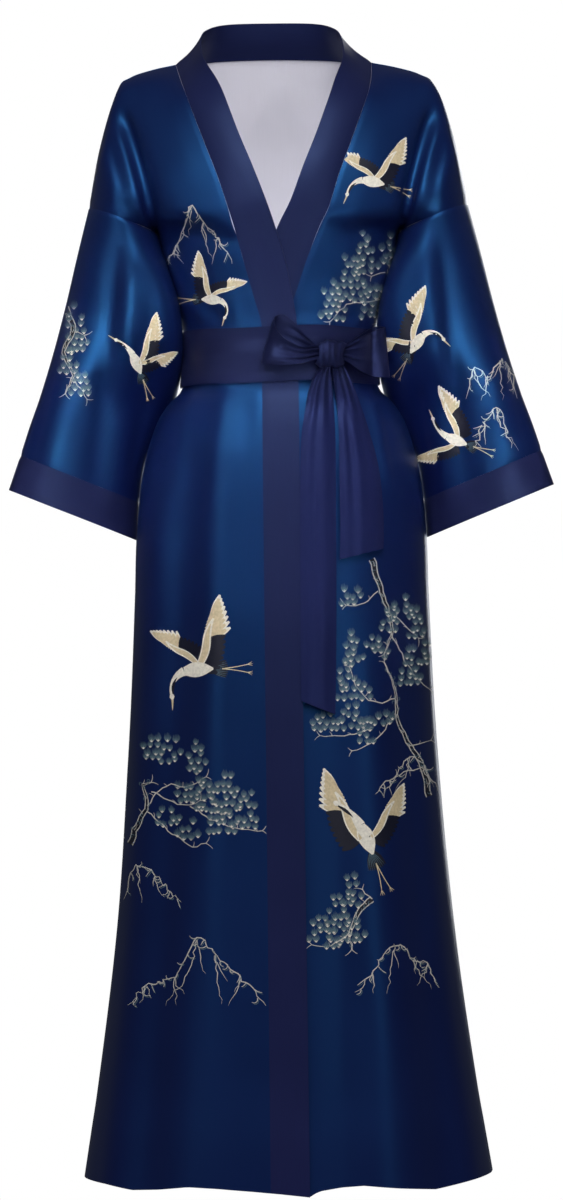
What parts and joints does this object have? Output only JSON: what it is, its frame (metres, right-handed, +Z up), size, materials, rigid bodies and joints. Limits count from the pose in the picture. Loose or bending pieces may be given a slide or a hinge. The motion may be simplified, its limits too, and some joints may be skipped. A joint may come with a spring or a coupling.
{
  "type": "kimono robe",
  "caption": "Long satin kimono robe, filled out as worn: wrapped front, dropped shoulders, wide sleeves, plain neckband and a sash tied in a bow. Hollow and rigid.",
  "frame": {"origin": "centre of the neck opening, level with the inner ends of the shoulder seams, where the wearer's neck and shoulders hold the robe up", "axes": "+Z up, -Y the front, +X towards the robe's left sleeve, which is on the viewer's right"},
  "size_m": [0.6378, 0.362, 1.3512],
  "materials": {
    "satin_print": "navy satin with a scattered print",
    "satin_band": "plain slate navy satin",
    "satin_sash": "plain slate navy satin"
  },
  "bodies": {
    "root": {"back": "satin_print", "front_right": "satin_print", "front_left": "satin_print", "sleeve_right": "satin_print", "sleeve_left": "satin_print", "cuff_right": "satin_band", "cuff_left": "satin_band", "neckband_right": "satin_band", "neckband_left": "satin_band", "belt_wrap": "satin_sash", "bow_knot": "satin_sash", "bow_loop_right": "satin_sash", "bow_loop_left": "satin_sash", "bow_tail_long": "satin_sash", "bow_tail_short": "satin_sash"}
  },
  "joints": []
}
